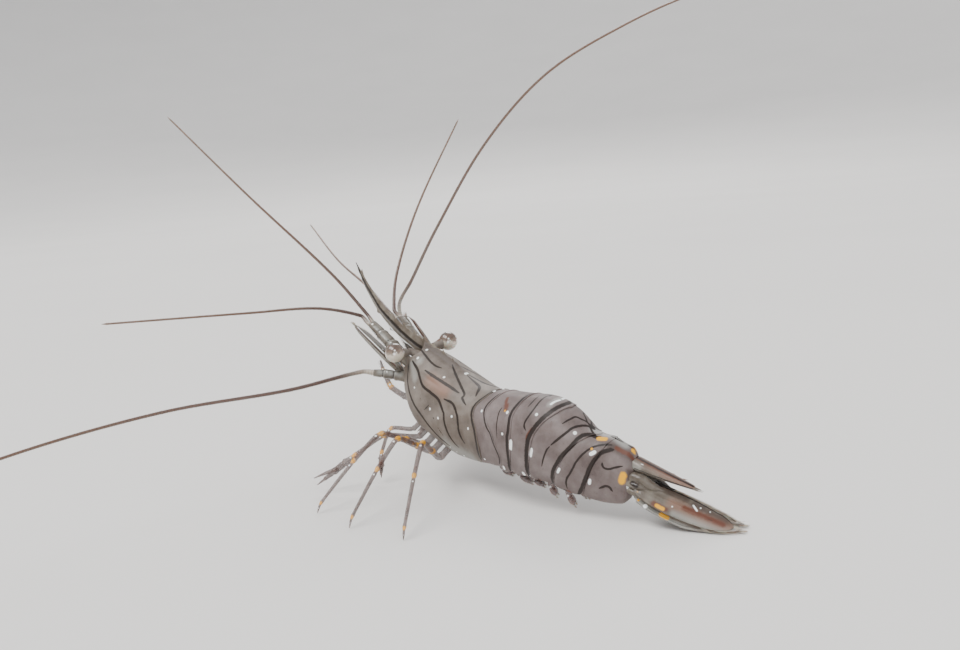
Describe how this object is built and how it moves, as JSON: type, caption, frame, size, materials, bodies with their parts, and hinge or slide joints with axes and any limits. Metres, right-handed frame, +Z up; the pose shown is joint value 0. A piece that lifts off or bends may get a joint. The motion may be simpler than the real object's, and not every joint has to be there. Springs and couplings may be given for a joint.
{
  "type": "rockpool prawn",
  "caption": "Life-size rockpool prawn standing on its walking legs and tail fan, head raised, long toothed snout and trailing feelers.",
  "frame": {"origin": "on the ground, under the middle of the box round the whole prawn with its feelers", "axes": "+Z up, -Y towards the head, +X towards the animal's left"},
  "size_m": [0.11, 0.0832, 0.0495],
  "materials": {
    "shell": "translucent grey-brown shell with dark lines and white dots, wet gloss",
    "clear_shell": "glass-clear shell blades with brown edges, wet gloss",
    "limb": "translucent limbs with yellow and orange joints",
    "feeler": "orange-brown ringed feelers, satin",
    "eye": "dark glossy eyes with a silvery sheen"
  },
  "bodies": {
    "root": {"abdomen_1": "shell", "abdomen_2": "shell", "abdomen_3": "shell", "abdomen_4": "shell", "abdomen_5": "shell", "abdomen_6": "shell", "antenna_left_1": "feeler", "antenna_left_2": "feeler", "antenna_left_3": "feeler", "antenna_left_stem": "clear_shell", "antenna_right_1": "feeler", "antenna_right_2": "feeler", "antenna_right_3": "feeler", "antenna_right_stem": "clear_shell", "antennal_scale_left": "clear_shell", "antennal_scale_right": "clear_shell", "antennule_left": "clear_shell", "antennule_left_inner": "feeler", "antennule_left_outer": "feeler", "antennule_right": "clear_shell", "antennule_right_inner": "feeler", "antennule_right_outer": "feeler", "carapace": "shell", "eye_left": "eye", "eye_right": "eye", "eyestalk_left": "shell", "eyestalk_right": "shell", "leg_1_left_lower": "limb", "leg_1_left_upper": "limb", "leg_1_right_lower": "limb", "leg_1_right_upper": "limb", "leg_2_left_lower": "limb", "leg_2_left_upper": "limb", "leg_2_right_lower": "limb", "leg_2_right_upper": "limb", "leg_3_left_lower": "limb", "leg_3_left_upper": "limb", "leg_3_right_lower": "limb", "leg_3_right_upper": "limb", "leg_4_left_lower": "limb", "leg_4_left_upper": "limb", "leg_4_right_lower": "limb", "leg_4_right_upper": "limb", "leg_5_left_lower": "limb", "leg_5_left_upper": "limb", "leg_5_right_lower": "limb", "leg_5_right_upper": "limb", "maxilliped_left": "limb", "maxilliped_right": "limb", "rostrum": "clear_shell", "swimmerets_1": "limb", "swimmerets_2": "limb", "swimmerets_3": "limb", "swimmerets_4": "limb", "swimmerets_5": "limb", "telson": "shell", "uropod_left_inner": "clear_shell", "uropod_left_outer": "clear_shell", "uropod_right_inner": "clear_shell", "uropod_right_outer": "clear_shell"}
  },
  "joints": []
}
